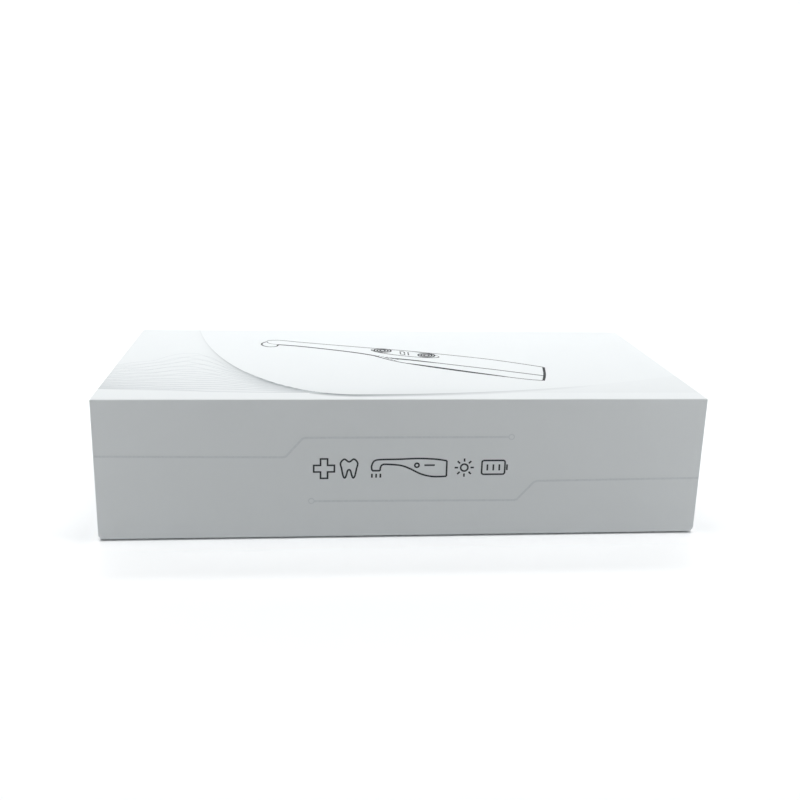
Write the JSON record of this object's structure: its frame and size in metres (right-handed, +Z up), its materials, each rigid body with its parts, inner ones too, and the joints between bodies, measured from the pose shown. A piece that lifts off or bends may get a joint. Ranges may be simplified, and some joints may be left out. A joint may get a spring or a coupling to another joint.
{
  "type": "boxed dental curing light",
  "caption": "White lift-off-lid carton with line art, closed over a foam tray that holds a cordless wand-shaped dental curing light, its charging dock and an orange eye shield.",
  "frame": {"origin": "centre of the carton's underside, on the surface it stands on", "axes": "+X along the carton's long side to the right as seen from the printed front, +Y to the back, +Z up"},
  "size_m": [0.28, 0.144, 0.0675],
  "materials": {
    "printed_board": "white paper wrap over grey board, satin",
    "grey_foam": "matt closed-cell foam",
    "white_casing": "smooth",
    "dark_plastic": "fine texture",
    "panel_gloss": "polished",
    "satin_aluminium": "satin",
    "spring_steel": "plain",
    "gilt_brass": "plated",
    "lens_glass": "polished",
    "seal_rubber": "matt",
    "board_green": "solder mask",
    "cell_wrap": "shrink wrap over a metal can",
    "shield_orange": "clear orange",
    "phosphor": "matt",
    "display_black": "polished",
    "red_lead": "insulation",
    "lamp_green": "clear"
  },
  "bodies": {
    "carton": {"carton_base": "printed_board", "foam_sheet": "grey_foam", "foam_tray": "grey_foam", "dock_shell": "white_casing", "dock_floor": "dark_plastic", "dock_foot_ring": "seal_rubber", "dock_board": "board_green", "dock_pin_left": "gilt_brass", "dock_pin_right": "gilt_brass", "dock_inlet": "dark_plastic", "dock_lamp": "lamp_green", "light_shield": "shield_orange", "shield_collar": "seal_rubber"},
    "light": {"upper_casing": "white_casing", "lower_casing": "white_casing", "lens_ring": "satin_aluminium", "lens_seal": "seal_rubber", "lens": "lens_glass", "reflector": "satin_aluminium", "led_emitter": "phosphor", "led_board": "satin_aluminium", "heat_bar": "satin_aluminium", "led_lead_positive": "red_lead", "led_lead_negative": "seal_rubber", "control_panel": "panel_gloss", "power_switch": "spring_steel", "mode_switch": "spring_steel", "display_module": "display_black", "buzzer": "dark_plastic", "main_board": "board_green", "chassis": "dark_plastic", "casing_screw_1": "spring_steel", "casing_screw_2": "spring_steel", "front_cell_frame": "dark_plastic", "rear_cell_frame": "dark_plastic", "battery_cell": "cell_wrap", "battery_spring": "spring_steel", "battery_contact": "gilt_brass", "cap_seal": "seal_rubber", "rear_cap": "dark_plastic", "charge_pin_left": "gilt_brass", "charge_pin_right": "gilt_brass"},
    "lid": {"carton_lid": "printed_board", "lid_pad": "grey_foam"},
    "power_key": {"power_button": "white_casing"},
    "mode_key": {"mode_button": "white_casing"}
  },
  "joints": [
    {"name": "light_lift", "type": "slide", "parent": "carton", "child": "light", "axis": [0, 0, 1], "range_m": [0, 0.08]},
    {"name": "lid_lift", "type": "slide", "parent": "light", "child": "lid", "axis": [0, 0, 1], "range_m": [0, 0.15]},
    {"name": "power_press", "type": "slide", "parent": "light", "child": "power_key", "axis": [0, 0, -1], "range_m": [0, 0.0004], "stiffness_N_per_m": 600},
    {"name": "mode_press", "type": "slide", "parent": "light", "child": "mode_key", "axis": [0, 0, -1], "range_m": [0, 0.0004], "stiffness_N_per_m": 600}
  ]
}
